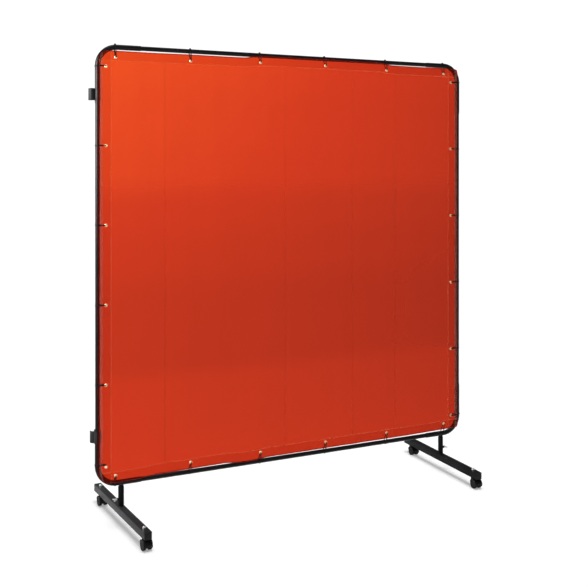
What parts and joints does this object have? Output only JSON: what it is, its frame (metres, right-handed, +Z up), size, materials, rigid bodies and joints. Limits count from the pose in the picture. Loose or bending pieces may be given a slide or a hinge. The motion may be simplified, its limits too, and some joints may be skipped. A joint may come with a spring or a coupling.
{
  "type": "welding curtain screen",
  "caption": "Free-standing welding screen: translucent orange-red film tied with eyelets into a black round-tube frame, on two castored feet, with couplers for joining screens.",
  "frame": {"origin": "on the floor, under the middle of the overall box", "axes": "+Z up, +X along the screen to the right seen from the film side, +Y to the back, away from the film"},
  "size_m": [1.8164, 0.6256, 1.962],
  "materials": {
    "frame_paint": "semi-gloss",
    "foot_paint": "satin",
    "curtain_film": "glossy translucent film",
    "coupler_nylon": "satin",
    "cap_plastic": "matte",
    "castor_hood": "satin",
    "castor_wheel": "satin",
    "zinc_hardware": "bright zinc"
  },
  "bodies": {
    "frame": {"top_left_bend": "frame_paint", "top_right_bend": "frame_paint", "bottom_left_bend": "frame_paint", "bottom_right_bend": "frame_paint", "top_rail": "frame_paint", "bottom_rail": "frame_paint", "left_upright": "frame_paint", "right_upright": "frame_paint", "left_leg": "frame_paint", "right_leg": "frame_paint", "curtain": "curtain_film"},
    "upper_coupler": {"upper_coupler": "coupler_nylon"},
    "lower_coupler": {"lower_coupler": "coupler_nylon"},
    "left_foot": {"left_foot_tube": "foot_paint", "left_leg_socket": "foot_paint", "left_weld_nut": "foot_paint", "left_front_cap": "cap_plastic", "left_rear_cap": "cap_plastic", "left_front_castor_stem": "zinc_hardware", "left_front_castor_nut": "zinc_hardware", "left_rear_castor_stem": "zinc_hardware", "left_rear_castor_nut": "zinc_hardware"},
    "left_wing_bolt": {"left_wing_bolt": "zinc_hardware"},
    "right_foot": {"right_foot_tube": "foot_paint", "right_leg_socket": "foot_paint", "right_weld_nut": "foot_paint", "right_front_cap": "cap_plastic", "right_rear_cap": "cap_plastic", "right_front_castor_stem": "zinc_hardware", "right_front_castor_nut": "zinc_hardware", "right_rear_castor_stem": "zinc_hardware", "right_rear_castor_nut": "zinc_hardware"},
    "right_wing_bolt": {"right_wing_bolt": "zinc_hardware"},
    "left_front_castor": {"left_front_castor_hood": "castor_hood", "left_front_castor_axle": "zinc_hardware"},
    "left_front_castor_left_wheel": {"left_front_castor_left_wheel": "castor_wheel"},
    "left_front_castor_right_wheel": {"left_front_castor_right_wheel": "castor_wheel"},
    "left_rear_castor": {"left_rear_castor_hood": "castor_hood", "left_rear_castor_axle": "zinc_hardware"},
    "left_rear_castor_left_wheel": {"left_rear_castor_left_wheel": "castor_wheel"},
    "left_rear_castor_right_wheel": {"left_rear_castor_right_wheel": "castor_wheel"},
    "right_front_castor": {"right_front_castor_hood": "castor_hood", "right_front_castor_axle": "zinc_hardware"},
    "right_front_castor_left_wheel": {"right_front_castor_left_wheel": "castor_wheel"},
    "right_front_castor_right_wheel": {"right_front_castor_right_wheel": "castor_wheel"},
    "right_rear_castor": {"right_rear_castor_hood": "castor_hood", "right_rear_castor_axle": "zinc_hardware"},
    "right_rear_castor_left_wheel": {"right_rear_castor_left_wheel": "castor_wheel"},
    "right_rear_castor_right_wheel": {"right_rear_castor_right_wheel": "castor_wheel"}
  },
  "joints": [
    {"name": "upper_coupler_turn", "type": "hinge", "parent": "frame", "child": "upper_coupler", "pos_m": [-0.87277, 0, 1.756], "axis": [0, 0, -1], "range_deg": [-40, 120]},
    {"name": "lower_coupler_turn", "type": "hinge", "parent": "frame", "child": "lower_coupler", "pos_m": [-0.87277, 0, 0.368], "axis": [0, 0, -1], "range_deg": [-105, 55]},
    {"name": "left_foot_turn", "type": "hinge", "parent": "frame", "child": "left_foot", "pos_m": [-0.77577, 0, 0.1], "axis": [0, 0, 1], "range_deg": [-90, 90]},
    {"name": "left_wing_bolt_turn", "type": "hinge", "parent": "left_foot", "child": "left_wing_bolt", "pos_m": [-0.77577, 0, 0.105], "axis": [-0.998, -0.0628, 0], "range_deg": [0, 540]},
    {"name": "right_foot_turn", "type": "hinge", "parent": "frame", "child": "right_foot", "pos_m": [0.80023, 0, 0.1], "axis": [0, 0, 1], "range_deg": [-90, 90]},
    {"name": "right_wing_bolt_turn", "type": "hinge", "parent": "right_foot", "child": "right_wing_bolt", "pos_m": [0.80023, 0, 0.105], "axis": [0.9996, -0.0279, 0], "range_deg": [0, 540]},
    {"name": "left_front_castor_swivel", "type": "hinge", "parent": "left_foot", "child": "left_front_castor", "pos_m": [-0.75897, -0.26697, 0.042], "axis": [0, 0, 1], "continuous": true},
    {"name": "left_front_castor_left_wheel_spin", "type": "hinge", "parent": "left_front_castor", "child": "left_front_castor_left_wheel", "pos_m": [-0.75759, -0.28892, 0.02], "axis": [0.998, 0.0628, 0], "continuous": true},
    {"name": "left_front_castor_right_wheel_spin", "type": "hinge", "parent": "left_front_castor", "child": "left_front_castor_right_wheel", "pos_m": [-0.75759, -0.28892, 0.02], "axis": [0.998, 0.0628, 0], "continuous": true},
    {"name": "left_rear_castor_swivel", "type": "hinge", "parent": "left_foot", "child": "left_rear_castor", "pos_m": [-0.79256, 0.26698, 0.042], "axis": [0, 0, 1], "continuous": true},
    {"name": "left_rear_castor_left_wheel_spin", "type": "hinge", "parent": "left_rear_castor", "child": "left_rear_castor_left_wheel", "pos_m": [-0.79118, 0.24502, 0.02], "axis": [0.998, 0.0628, 0], "continuous": true},
    {"name": "left_rear_castor_right_wheel_spin", "type": "hinge", "parent": "left_rear_castor", "child": "left_rear_castor_right_wheel", "pos_m": [-0.79118, 0.24502, 0.02], "axis": [0.998, 0.0628, 0], "continuous": true},
    {"name": "right_front_castor_swivel", "type": "hinge", "parent": "right_foot", "child": "right_front_castor", "pos_m": [0.79276, -0.26739, 0.042], "axis": [0, 0, 1], "continuous": true},
    {"name": "right_front_castor_left_wheel_spin", "type": "hinge", "parent": "right_front_castor", "child": "right_front_castor_left_wheel", "pos_m": [0.79215, -0.28938, 0.02], "axis": [0.9996, -0.0279, 0], "continuous": true},
    {"name": "right_front_castor_right_wheel_spin", "type": "hinge", "parent": "right_front_castor", "child": "right_front_castor_right_wheel", "pos_m": [0.79215, -0.28938, 0.02], "axis": [0.9996, -0.0279, 0], "continuous": true},
    {"name": "right_rear_castor_swivel", "type": "hinge", "parent": "right_foot", "child": "right_rear_castor", "pos_m": [0.8077, 0.2674, 0.042], "axis": [0, 0, 1], "continuous": true},
    {"name": "right_rear_castor_left_wheel_spin", "type": "hinge", "parent": "right_rear_castor", "child": "right_rear_castor_left_wheel", "pos_m": [0.80709, 0.24541, 0.02], "axis": [0.9996, -0.0279, 0], "continuous": true},
    {"name": "right_rear_castor_right_wheel_spin", "type": "hinge", "parent": "right_rear_castor", "child": "right_rear_castor_right_wheel", "pos_m": [0.80709, 0.24541, 0.02], "axis": [0.9996, -0.0279, 0], "continuous": true}
  ]
}
